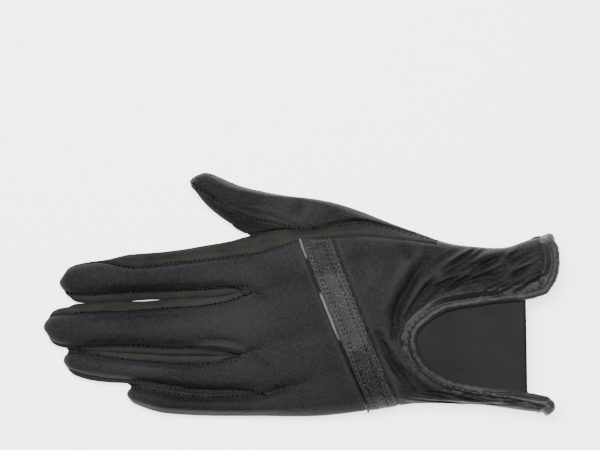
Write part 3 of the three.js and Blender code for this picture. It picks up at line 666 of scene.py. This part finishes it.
def crease_lift(points, share):
    """How far the creases and the cloth's faint ripple lift each point."""
    lift = np.zeros(len(points))
    for x0, y0, x1, y1, half, height, bow, lean in CREASES:
        ax, ay = plan(x0, y0)
        bx, by = plan(x1, y1)
        run = math.hypot(bx - ax, by - ay)
        ux, uy = (bx - ax) / run, (by - ay) / run
        along = (points[:, 0] - ax) * ux + (points[:, 1] - ay) * uy
        part = np.clip(along / run, 0.0, 1.0)
        across = (points[:, 1] - ay) * ux - (points[:, 0] - ax) * uy
        across = across - bow * MM * 4.0 * part * (1.0 - part)
        beyond = along - part * run
        width = half * MM * (1.0 - CREASE_LEAN * lean * np.tanh(across / (half * MM)))
        side = np.abs(across / width) ** CREASE_POWER
        shape = np.exp(-side - (beyond / (CREASE_END * half * MM)) ** 2)
        taper = 0.35 + 0.65 * np.sin(np.pi * np.clip(part, 0.05, 0.95))
        lift += height * MM * shape * taper
    for x, y, wide, high, turn, length, width, height in GATHERS:
        mx, my = plan(x, y)
        dx, dy = points[:, 0] - mx, points[:, 1] - my
        off = np.hypot(dx / (wide * POINT), dy / (high * POINT))
        inside = 1.0 - rise(off, GATHER_FULL, GATHER_END)
        cos, sin = math.cos(math.radians(turn)), math.sin(math.radians(turn))
        along = (dx * cos + dy * sin) / (length * MM)
        across = (dy * cos - dx * sin) / (width * MM)
        places = zip(along, across, inside)
        ridge = [noise.noise(Vector((u, v, height))) if near else 0.0 for u, v, near in places]
        lift += height * MM * inside * (0.45 - 1.8 * np.abs(np.array(ridge)))
    ripple = wavy(points, RIPPLE_LENGTH)
    fine = wavy(points * FINE_SQUEEZE, FINE_LENGTH * RIPPLE_LENGTH)
    held = rise(points[:, 2], CREASE_LOW, CREASE_HIGH)
    return held * (share * lift + RIPPLE_LIFT * ripple + FINE_LIFT * RIPPLE_LIFT * fine)


def quad_copy(node, crisp=True):
    """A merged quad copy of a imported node. Cut edges stay crisp, and cut faces are marked."""
    shape = bmesh.new()
    shape.from_mesh(frame["nodes"][node].data)
    bmesh.ops.remove_doubles(shape, verts=shape.verts, dist=MERGE_GAP)
    bmesh.ops.join_triangles(
        shape,
        faces=shape.faces,
        angle_face_threshold=FLAT_ANGLE,
        angle_shape_threshold=math.radians(180.0),
    )
    crease = shape.edges.layers.float.new("crease_edge")
    for edge in shape.edges:
        if crisp and edge.calc_face_angle(0.0) > CUT_ANGLE:
            edge[crease] = 1.0
    for face in shape.faces:
        cut = sum(1 for edge in face.edges if edge[crease] > 0.5)
        face.material_index = 1 if cut >= 2 else 0
        face.smooth = True
    mesh = bpy.data.meshes.new(node + "_quads")
    shape.to_mesh(mesh)
    shape.free()
    if "custom_normal" in mesh.attributes:
        mesh.attributes.remove(mesh.attributes["custom_normal"])
    return mesh


def smoothed(mesh, name, levels):
    """A plain mesh object of the subdivided shape. Two empty material slots keep the marks."""
    rough = placed(name + "_rough", mesh)
    for _ in range(2):
        mesh.materials.append(None)
    divide = rough.modifiers.new("Smooth", "SUBSURF")
    divide.levels = divide.render_levels = levels
    divide.boundary_smooth = "PRESERVE_CORNERS"
    graph = bpy.context.evaluated_depsgraph_get()
    fine = bpy.data.meshes.new_from_object(rough.evaluated_get(graph), depsgraph=graph)
    bpy.data.objects.remove(rough)
    fine.name = name
    return placed(name, fine)


def corners(mesh):
    """The places of a mesh's corners, one row each."""
    points = np.empty(len(mesh.vertices) * 3)
    mesh.vertices.foreach_get("co", points)
    return points.reshape(-1, 3)


def outward(mesh, edges_too=False):
    """Normals at the corners, from the cloth's own faces.

    The cut edges count too if asked for, and where most faces are marked as cut.
    """
    count = len(mesh.polygons)
    normals = np.empty(count * 3)
    mesh.polygons.foreach_get("normal", normals)
    areas = np.empty(count)
    mesh.polygons.foreach_get("area", areas)
    cut = np.empty(count, dtype=np.int32)
    mesh.polygons.foreach_get("material_index", cut)
    totals = np.empty(count, dtype=np.int32)
    mesh.polygons.foreach_get("loop_total", totals)
    loops = np.empty(len(mesh.loops), dtype=np.int32)
    mesh.loops.foreach_get("vertex_index", loops)
    edges_too = edges_too or cut.mean() > 0.5
    used = np.ones(count) if edges_too else (cut == 0).astype(float)
    weight = normals.reshape(-1, 3) * (areas * used)[:, None]
    result = np.zeros((len(mesh.vertices), 3))
    np.add.at(result, loops, np.repeat(weight, totals, axis=0))
    length = np.linalg.norm(result, axis=1)
    return result / np.maximum(length, 1e-20)[:, None] * (length > 1e-14)[:, None]


def surface_tree(nodes):
    """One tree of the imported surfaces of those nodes."""
    points, faces = [], []
    for node in nodes:
        mesh = frame["nodes"][node].data
        start = len(points)
        points += [vertex.co.copy() for vertex in mesh.vertices]
        faces += [[start + index for index in face.vertices] for face in mesh.polygons]
    return BVHTree.FromPolygons(points, faces)


def reach(tree, points, far):
    """The distance from each point to the tree and the way there, or far where it is more."""
    near, way = np.full(len(points), far), np.zeros((len(points), 3))
    for index, point in enumerate(points):
        touch, _, _, distance = tree.find_nearest(Vector(point), far)
        if distance is not None:
            near[index] = distance
            way[index] = touch - Vector(point)
    return near, way


def wavy(points, length):
    """Smooth noise from about -1 to 1 that changes over that length."""
    return np.fromiter((noise.noise(Vector(p) / length) for p in points), float, len(points))


def press(piece, points):
    """Moves a piece's corners to those places."""
    piece.data.vertices.foreach_set("co", points.ravel())
    piece.data.update()


def mark_wear_and_light(piece, share):
    """Stores how pale each corner is drawn, painted light and shade with some rubbing, for the
    finish.
    """
    wear_and_light = piece.data.attributes.new(WEAR_AND_LIGHT, "FLOAT", "POINT")
    wear_and_light.data.foreach_set("value", np.clip(share, 0.0, 1.0))


def finish_piece(piece, nodes, material):
    """Gives a piece its material, attaches it to the root body and hides the imported nodes that
    it stands for.
    """
    mesh = piece.data
    mesh.materials.clear()
    mesh.materials.append(material)
    mesh.polygons.foreach_set("material_index", np.zeros(len(mesh.polygons), dtype=np.int32))
    mesh.shade_smooth()
    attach(piece, "root")
    if nodes:
        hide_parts(*nodes)
    return piece


# Each finish has the name of its colour in the sidebar.
FINISH_MAKERS = {
    "satin": satin_cloth,
    "suede": brushed_suede,
    "leather": band_hide,
    "binding": rolled_binding,
    "insert": insert_cloth,
    "piping": piping_with_painted_highlight,
    "thread": sewing_thread,
    "floor": pale_floor,
}
FINISHES = {}


def finish(context, name):
    """The finish of that name, made the first time that a piece needs it."""
    if name not in FINISHES:
        colour = tuple(getattr(context.scene.glove_colours, name))
        FINISHES[name] = FINISH_MAKERS[name](colour)
    return FINISHES[name]


def from_run(points, run):
    """The plan distance from each point to a run of stitches."""
    nearest = np.full(len(points), 1.0)
    for (x0, y0), (x1, y1) in zip(run, run[1:]):
        ax, ay = plan(x0, y0)
        bx, by = plan(x1, y1)
        run_x, run_y = bx - ax, by - ay
        part = ((points[:, 0] - ax) * run_x + (points[:, 1] - ay) * run_y) / (run_x**2 + run_y**2)
        part = np.clip(part, 0.0, 1.0)
        gap = np.hypot(points[:, 0] - ax - part * run_x, points[:, 1] - ay - part * run_y)
        nearest = np.minimum(nearest, gap)
    return nearest


def stitched(points, normals, rows):
    """How deep the thread pulls the cloth in, on faces that look up."""
    pull = np.zeros(len(points))
    for *_, run in rows:
        pull = np.maximum(pull, bump(from_run(points, run), 0.0, THREAD_WIDTH))
    return pull * rise(normals[:, 2], *THREAD_FACING)


def close_slit(piece, points, normals, slivers):
    """Swells the walls between two fingers towards each other, so that they all but meet."""
    walls = BVHTree.FromObject(piece, bpy.context.evaluated_depsgraph_get())
    moved = points.copy()
    for index, (point, normal) in enumerate(zip(points, normals)):
        level = math.hypot(normal[0], normal[1])
        if level < SLIT_UPRIGHT[0]:
            continue
        way = Vector((normal[0] / level, normal[1] / level, 0.0))
        room = walls.ray_cast(Vector(point) + SLIT_START * way, way, SLIT_REACH)[3]
        if room is not None:
            room += SLIT_START
            held = rise(level, *SLIT_UPRIGHT) * rise(abs(way.y), *SLIT_ACROSS)
            held *= 1.0 - rise(room, SLIT_FULL, SLIT_NONE)
            held *= 1.0 - slivers * math.exp(-(((point[0] - SLIT_MIDDLE) / SLIT_HALF) ** 2))
            moved[index] += np.array(way) * room * SLIT_SHARE * held
    return moved


def painted_light_and_wear(points, facing, seam, lift, shine):
    """How pale the cloth is drawn: painted highlights on puckers, fold tops and runs that shine,
    painted shade in fold hollows, at seams and on its sides, and the table's patches of painted
    light and shade.
    """
    turned, beside = seam
    folds = np.clip(lift / MM, -0.6, 1.0)
    # Painted highlight on puckers and fold tops, painted shade in fold hollows and where cloth
    # turns down at seams.
    wear_and_light = PUCKER_HIGHLIGHT * beside + FOLD_LIGHT_AND_SHADE * folds + SEAM_SHADE * turned + PLAIN_LEVEL
    # Painted shade on sides that don't look up.
    wear_and_light += SIDE_SHADE * (1.0 - rise(facing[:, 2], 0.0, 0.55))
    # Patches of painted light and shade.
    for x, y, far, share in PAINTED_LIGHT_PATCHES:
        middle = plan(x, y)
        off = np.hypot(points[:, 0] - middle[0], points[:, 1] - middle[1]) / (far * POINT)
        wear_and_light += share * np.exp(-(off**2))
    # Painted highlight along the given runs.
    for run in shine:
        wear_and_light += PAINTED_SHINE * rise(from_run(points, run), BAND_HIGHLIGHT_REACH, 0.0)
    return wear_and_light


def sew(context, node, name, levels, look, rows=(), slivers=None, shine=()):
    """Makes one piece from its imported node. A gusset's slit is closed but for its slivers."""
    shape = context.scene.glove_shape
    piece = smoothed(quad_copy(node), name, levels)
    points, normals = corners(piece.data), outward(piece.data)
    facing = outward(piece.data, True)
    if slivers is not None:
        points = close_slit(piece, points, facing, slivers)
    others = [other for other in CLOTH_NODES if other != node]
    near, way = reach(surface_tree(others), points, SEAM_REACH)
    waves = wavy(points, SEAM_WAVES)
    turned, beside = bump(near, 0.0, shape.seam_roll), bump(near, PUCKER_PLACE, PUCKER_WIDTH)
    sink = shape.seam_depth * turned * (1.0 + 0.5 * waves)
    sink = sink + THREAD_PULL * stitched(points, normals, rows) * (1.0 + 0.6 * waves)
    sink = sink - shape.pucker * beside * (0.5 + waves)
    points -= normals * (sink * rise(points[:, 2], FLOOR_LOW, FLOOR_HIGH))[:, None]
    points += way * (JOIN_SHARE * (1.0 - rise(near, JOIN_NEAR, JOIN_FAR)))[:, None]
    lift = crease_lift(points, shape.crease)
    points[:, 2] += lift
    press(piece, points)
    mark_wear_and_light(piece, painted_light_and_wear(points, facing, (turned, beside), lift, shine))
    return finish_piece(piece, [node], finish(context, look))


def knot(context, name):
    """The small gathered end of a gusset where two fingers part, a lumpy ball on the cloth."""
    ball = bmesh.new()
    bmesh.ops.create_uvsphere(ball, u_segments=24, v_segments=16, radius=0.5)
    mesh = bpy.data.meshes.new(name)
    ball.to_mesh(mesh)
    ball.free()
    piece = placed(name, mesh)
    tree = surface_tree(("back_panel", "fourchette_index_middle"))
    px, py = plan(*KNOT_PLACE)
    around, steps, heights = 0.0015, 8, []
    for step in range(steps):
        turn = 2.0 * math.pi * step / steps
        place = (px + around * math.cos(turn), py + around * math.sin(turn), ABOVE)
        hit = tree.ray_cast(Vector(place), DOWN)[0]
        heights += [hit.z] if hit is not None else []
    height = sum(heights) / len(heights)
    points = corners(mesh) * KNOT_SIZE
    points += points * (0.5 * wavy(points, 0.0012))[:, None]
    press(piece, points + (px, py, height))
    mark_wear_and_light(piece, np.full(len(points), 0.9))
    return finish_piece(piece, [], finish(context, "suede"))


class GLOVE_OT_back(bpy.types.Operator):
    """Sews the satin back of the hand and fingers, and the gathered wrist cloth"""

    bl_idname = "glove.back"
    bl_label = "Satin Back and Wrist"

    def execute(self, context):
        sew(context, "back_panel", "back_cloth", 3, "satin", SEAM_STITCHES)
        sew(context, "wrist_panel", "wrist_cloth", 3, "satin", SEAM_STITCHES)
        return {"FINISHED"}


class GLOVE_OT_palm(bpy.types.Operator):
    """Sews the suede palm with its finger fronts"""

    bl_idname = "glove.palm"
    bl_label = "Suede Palm"

    def execute(self, context):
        sew(context, "palm_panel", "palm_cloth", 2, "suede")
        return {"FINISHED"}


class GLOVE_OT_gussets(bpy.types.Operator):
    """Sews the suede strips between the fingers"""

    bl_idname = "glove.gussets"
    bl_label = "Finger Gussets"

    def execute(self, context):
        for pair, slivers in GUSSETS:
            node, name = "fourchette_" + pair, pair + "_gusset"
            sew(context, node, name, 3, "suede", SEAM_STITCHES, slivers=slivers)
        knot(context, "index_middle_knot")
        return {"FINISHED"}


class GLOVE_OT_strip(bpy.types.Operator):
    """Sews the suede strip along the thumb side of the hand"""

    bl_idname = "glove.strip"
    bl_label = "Side Strip"

    def execute(self, context):
        sew(context, "radial_strip", "side_strip", 3, "suede", SEAM_STITCHES)
        return {"FINISHED"}


class GLOVE_OT_thumb(bpy.types.Operator):
    """Sews the thumb's satin back and suede front"""

    bl_idname = "glove.thumb"
    bl_label = "Thumb"

    def execute(self, context):
        sew(context, "thumb_back", "thumb_satin", 3, "satin", SEAM_STITCHES)
        sew(context, "thumb_palm", "thumb_suede", 3, "suede", SEAM_STITCHES)
        return {"FINISHED"}


def seated(points):
    """The cord's points, moved onto the cloth that is nearest around each."""
    around, reached, sunk = 0.0014, 0.004, 0.00035
    near, way = reach(surface_tree(("back_panel", "leather_band")), points, reached)
    moved = points.copy()
    for index, point in enumerate(points):
        beside = np.linalg.norm(points - point, axis=1) < around
        down = way[beside].mean(axis=0)
        down /= max(np.linalg.norm(down), 1e-9)
        moved[index] += down * (near[beside].min() + sunk)
    return moved


class GLOVE_OT_band(bpy.types.Operator):
    """Makes the leather band across the back and its piping"""

    bl_idname = "glove.band"
    bl_label = "Band and Piping"

    def execute(self, context):
        node, name = "leather_band", "band_leather_cover"
        # A highlight is painted along the band's middle.
        sew(context, node, name, 3, "leather", BAND_STITCHES, shine=BAND_HIGHLIGHT_RUNS)
        cord = smoothed(quad_copy("band_piping", False), "piping_cord", 2)
        points = seated(corners(cord.data))
        points[:, 2] += crease_lift(points, context.scene.glove_shape.crease)
        press(cord, points)
        # A highlight is painted along the given runs of the cord, with tone that varies at random.
        gaps = [from_run(points, run) for run in PIPING_HIGHLIGHT_RUNS]
        painted_glint = sum(rise(gap, PIPING_HIGHLIGHT_REACH, 0.0) for gap in gaps)
        mark_wear_and_light(cord, painted_glint + 0.25 * wavy(points, 0.003))
        finish_piece(cord, ["band_piping"], finish(context, "piping"))
        return {"FINISHED"}


class GLOVE_OT_insert(bpy.types.Operator):
    """Makes the stretch insert under the vent"""

    bl_idname = "glove.insert"
    bl_label = "Wrist Insert"

    def execute(self, context):
        piece = sew(context, "wrist_insert", "insert_cloth_sheet", 2, "insert")
        points = corners(piece.data)
        return {"FINISHED"}


class GLOVE_OT_binding(bpy.types.Operator):
    """Rolls the binding round the cuff's rim and the vent"""

    bl_idname = "glove.binding"
    bl_label = "Cuff Binding"

    def execute(self, context):
        shape = context.scene.glove_shape
        piece = smoothed(quad_copy("cuff_binding", False), "binding_roll", 3)
        points, normals = corners(piece.data), outward(piece.data)
        near, way = reach(surface_tree(CLOTH_NODES), points, BINDING_REACH)
        # A thin roll beside the cloth, a groove, and the full roll over the rim.
        thin = bump(near, 0.0009, 0.0005)
        groove = bump(near, 0.002, 0.00045)
        full = bump(near, 0.004, 0.0013)
        crinkle = wavy(points, 0.0016) + 0.6 * wavy(points + 0.05, 0.0036)
        proud = 0.5 * shape.roll_height * thin - 0.6 * shape.roll_height * groove
        proud = proud + shape.roll_height * full + shape.crinkle * crinkle * (1.0 - groove)
        above = rise(points[:, 2], *BINDING_FREE)
        points += normals * (proud * above)[:, None]
        joined = 1.0 - rise(near, *BINDING_JOIN)
        points += way * (0.95 * joined)[:, None]
        level = way / np.maximum(near, 1e-6)[:, None]
        lap = shape.lap * joined * above * rise(normals[:, 2], 0.0, 0.5)
        points += level * (0.7 * lap)[:, None] + normals * (0.8 * lap)[:, None]
        points[:, 2] += crease_lift(points, shape.crease)
        press(piece, points)
        # Painted highlight on the full roll and painted shade in the groove, with crinkles paler
        # and darker at random.
        mark_wear_and_light(piece, 0.3 + 0.5 * full + 0.4 * crinkle - 0.6 * groove)
        finish_piece(piece, ["cuff_binding"], finish(context, "binding"))
        return {"FINISHED"}


def stitch_tree(material):
    """Node tree that lays one thread bead at each step along a run."""
    tree = bpy.data.node_groups.new("Stitch Run", "GeometryNodeTree")
    sockets = tree.interface
    sockets.new_socket("Geometry", in_out="INPUT", socket_type="NodeSocketGeometry")
    for name in ("Spacing", "Length", "Width"):
        sockets.new_socket(name, in_out="INPUT", socket_type="NodeSocketFloat")
    sockets.new_socket("Geometry", in_out="OUTPUT", socket_type="NodeSocketGeometry")

    def node(kind, settings=None, values=None):
        return add_node(tree, kind, settings, values)

    given = node("NodeGroupInput").outputs
    curve = node("GeometryNodeMeshToCurve", values={"Mesh": given["Geometry"]})
    steps = node(
        "GeometryNodeResampleCurve",
        {"mode": "LENGTH"},
        {"Curve": curve.outputs["Curve"], "Length": given["Spacing"]},
    )
    tangent = node("GeometryNodeInputTangent")
    turn = node(
        "FunctionNodeAlignRotationToVector", {"axis": "X"}, {"Vector": tangent.outputs["Tangent"]}
    )
    size = node(
        "ShaderNodeCombineXYZ",
        values={"X": given["Length"], "Y": given["Width"], "Z": given["Width"]},
    )
    uneven = node(
        "FunctionNodeRandomValue", {"data_type": "FLOAT"}, {"Seed": 7, "Min": 0.86, "Max": 1.1}
    )
    scale = node(
        "ShaderNodeVectorMath",
        {"operation": "SCALE"},
        {0: size.outputs[0], "Scale": uneven.outputs[1]},
    )
    bead = node("GeometryNodeMeshUVSphere", values={"Segments": 6, "Rings": 5, "Radius": 0.5})
    rounded = node("GeometryNodeSetShadeSmooth", values={"Geometry": bead.outputs["Mesh"]})
    placed = node(
        "GeometryNodeInstanceOnPoints",
        values={
            "Points": steps.outputs["Curve"],
            "Instance": rounded.outputs["Geometry"],
            "Rotation": turn.outputs["Rotation"],
            "Scale": scale.outputs[0],
        },
    )
    solid = node("GeometryNodeRealizeInstances", values={"Geometry": placed.outputs["Instances"]})
    dyed = node(
        "GeometryNodeSetMaterial",
        values={"Geometry": solid.outputs["Geometry"], "Material": material},
    )
    node("NodeGroupOutput", values={"Geometry": dyed.outputs["Geometry"]})
    return tree


def lay_run(trees, run):
    """The points of a run, dropped from above onto the dressed pieces."""
    laid = []
    for (x0, y0), (x1, y1) in zip(run, run[1:]):
        ax, ay = plan(x0, y0)
        bx, by = plan(x1, y1)
        count = max(1, round(math.hypot(bx - ax, by - ay) / RUN_STEP))
        laid += [(ax + (bx - ax) * k / count, ay + (by - ay) * k / count) for k in range(count)]
    laid.append(plan(*run[-1]))
    found = []
    for x, y in laid:
        hits = (tree.ray_cast(Vector((x, y, ABOVE)), DOWN)[0] for tree in trees)
        heights = [hit.z for hit in hits if hit is not None]
        found.append((x, y, max(heights) + THREAD_LIFT if heights else 0.0))
    smooth = []
    for k in range(len(found)):
        near = found[max(0, k - 1) : k + 2]
        smooth.append((found[k][0], found[k][1], sum(place[2] for place in near) / len(near)))
    return smooth


def stitch(context, name, rows, thickness):
    """Sews rows of stitches onto the dressed pieces as one plain mesh."""
    stitching = context.scene.glove_stitching
    graph = context.evaluated_depsgraph_get()
    dressed = [piece for piece in context.scene.objects if piece.name in DRESSED]
    trees = [BVHTree.FromObject(piece, graph) for piece in dressed]
    tree = stitch_tree(finish(context, "thread"))
    given = (item for item in tree.interface.items_tree if item.in_out == "INPUT")
    keys = {item.name: item.identifier for item in given}
    whole = bmesh.new()
    for row, spacing, width, run in rows:
        mesh = bpy.data.meshes.new(row)
        laid = lay_run(trees, run)
        mesh.from_pydata(laid, [(k, k + 1) for k in range(len(laid) - 1)], [])
        line = placed(row, mesh)
        beads = line.modifiers.new("Stitches", "NODES")
        beads.node_group = tree
        beads[keys["Spacing"]] = stitching.spacing * spacing
        beads[keys["Length"]] = stitching.length * spacing
        beads[keys["Width"]] = stitching.width * width * thickness
        graph = context.evaluated_depsgraph_get()
        sewn = bpy.data.meshes.new_from_object(line.evaluated_get(graph), depsgraph=graph)
        whole.from_mesh(sewn)
        bpy.data.objects.remove(line)
    result = bpy.data.meshes.new(name)
    whole.to_mesh(result)
    whole.free()
    return finish_piece(placed(name, result), [], finish(context, "thread"))


class GLOVE_OT_stitches(bpy.types.Operator):
    """Sews the stitches along the seams, the band and the binding"""

    bl_idname = "glove.stitches"
    bl_label = "Stitches"

    def execute(self, context):
        stitch(context, "seam_stitches", SEAM_STITCHES, 1.0)
        stitch(context, "band_stitches", BAND_STITCHES, 0.62)
        stitch(context, "binding_stitches", BINDING_STITCHES, 0.55)
        return {"FINISHED"}


def light(name, place, size, power):
    """A rectangular light that faces the middle of the glove."""
    lamp = bpy.data.lights.new(name, "AREA")
    lamp.shape = "RECTANGLE"
    lamp.size, lamp.size_y = size
    lamp.energy = power
    body = placed(name, lamp)
    body.location = place
    body.rotation_euler = (-Vector(place)).to_track_quat("-Z", "Y").to_euler()


class GLOVE_OT_stage(bpy.types.Operator):
    """Sets the pale floor, the soft lights and the camera straight above"""

    bl_idname = "glove.stage"
    bl_label = "Stage"

    def execute(self, context):
        stage = context.scene.glove_stage
        half, level = 2.0, -0.0001
        ends = [(-half, -half), (half, -half), (half, half), (-half, half)]
        floor = bpy.data.meshes.new("floor")
        floor.from_pydata([(x, y, level) for x, y in ends], [], [(0, 1, 2, 3)])
        floor.materials.append(finish(context, "floor"))
        ground = placed("floor", floor)

        x, y = plan(VIEW_WIDTH / 2, VIEW_HEIGHT / 2)
        eye = bpy.data.cameras.new("camera")
        eye.sensor_fit = "HORIZONTAL"
        away = stage.camera_height - VIEW_LEVEL
        eye.lens = eye.sensor_width * away / (VIEW_WIDTH * POINT)
        camera = placed("camera", eye)
        camera.location = (x, y, stage.camera_height)
        context.scene.camera = camera

        light("overhead", (-0.05, 0.22, 1.2), (0.5, 0.35), stage.soft_light)
        light("window", (-0.6, 0.9, 0.6), (0.5, 0.3), stage.side_light)
        sky = bpy.data.worlds.new("studio")
        sky.use_nodes = True
        shade = sky.node_tree.nodes["Background"]
        shade.inputs["Color"].default_value = (1.0, 1.0, 1.0, 1.0)
        shade.inputs["Strength"].default_value = 0.15
        context.scene.world = sky
        return {"FINISHED"}


OPERATORS = (
    GLOVE_OT_back,
    GLOVE_OT_palm,
    GLOVE_OT_gussets,
    GLOVE_OT_strip,
    GLOVE_OT_thumb,
    GLOVE_OT_band,
    GLOVE_OT_insert,
    GLOVE_OT_binding,
    GLOVE_OT_stitches,
    GLOVE_OT_stage,
)


class GLOVE_PT_sidebar(bpy.types.Panel):
    """Lists the glove's pieces and sizes"""

    bl_idname = "GLOVE_PT_sidebar"
    bl_label = "Riding Glove"
    bl_space_type = "VIEW_3D"
    bl_region_type = "UI"
    bl_category = "Glove"

    def draw(self, context):
        layout = self.layout
        for group in ("glove_shape", "glove_stitching", "glove_colours", "glove_stage"):
            box = layout.box()
            settings = getattr(context.scene, group)
            for name in settings.bl_rna.properties.keys():
                if name not in {"rna_type", "name"}:
                    box.prop(settings, name)
        for operator in OPERATORS:
            layout.operator(operator.bl_idname)


GROUPS = {
    "glove_shape": GloveShape,
    "glove_stitching": GloveStitching,
    "glove_colours": GloveColours,
    "glove_stage": GloveStage,
}


def register():
    """Adds the glove's settings, operators and panel to Blender."""
    for kind in (*GROUPS.values(), *OPERATORS, GLOVE_PT_sidebar):
        bpy.utils.register_class(kind)
    for name, kind in GROUPS.items():
        setattr(bpy.types.Scene, name, bpy.props.PointerProperty(type=kind))


def unregister():
    """Takes them out again."""
    for name in GROUPS:
        delattr(bpy.types.Scene, name)
    for kind in (GLOVE_PT_sidebar, *reversed(OPERATORS), *reversed(GROUPS.values())):
        bpy.utils.unregister_class(kind)


def main():
    """Builds the whole glove."""
    register()
    bpy.ops.glove.back()
    bpy.ops.glove.palm()
    bpy.ops.glove.gussets()
    bpy.ops.glove.strip()
    bpy.ops.glove.thumb()
    bpy.ops.glove.band()
    bpy.ops.glove.insert()
    bpy.ops.glove.binding()
    bpy.ops.glove.stitches()
    bpy.ops.glove.stage()


if __name__ == "__main__":
    main()
